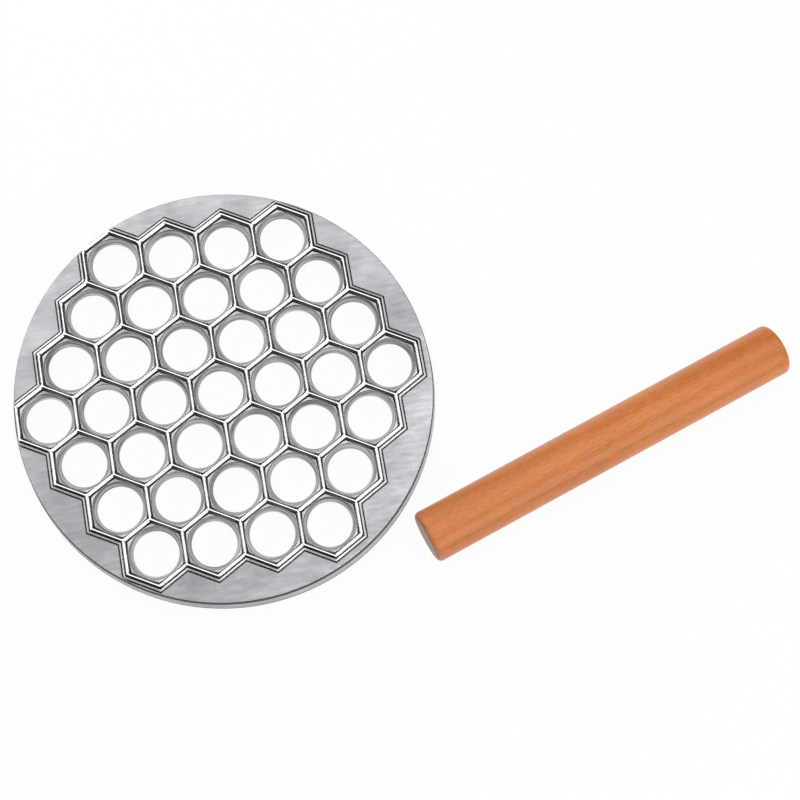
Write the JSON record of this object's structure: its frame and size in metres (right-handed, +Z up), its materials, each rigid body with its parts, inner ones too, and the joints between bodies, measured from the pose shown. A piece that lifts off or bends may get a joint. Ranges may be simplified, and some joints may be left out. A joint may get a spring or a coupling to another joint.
{
  "type": "dumpling mould with rolling pin",
  "caption": "Round cast dumpling mould with hexagonal cutting ribs over round funnel holes on a low skirt, with a plain wooden rolling pin lying beside it.",
  "frame": {"origin": "middle of the mould's round plate, on the surface that it stands on", "axes": "+Z up, +X along the rows of cells"},
  "size_m": [0.4634, 0.2524, 0.032],
  "materials": {
    "cast_aluminium": "satin cast rim, polished ribs",
    "varnished_wood": "clear satin varnish"
  },
  "bodies": {
    "mould": {"mould_plate": "cast_aluminium"},
    "pin": {"rolling_pin": "varnished_wood"}
  },
  "joints": [
    {"name": "rolling_pin_lift", "type": "slide", "parent": "mould", "child": "pin", "axis": [0, 0, 1], "range_m": [0, 0.12]}
  ]
}
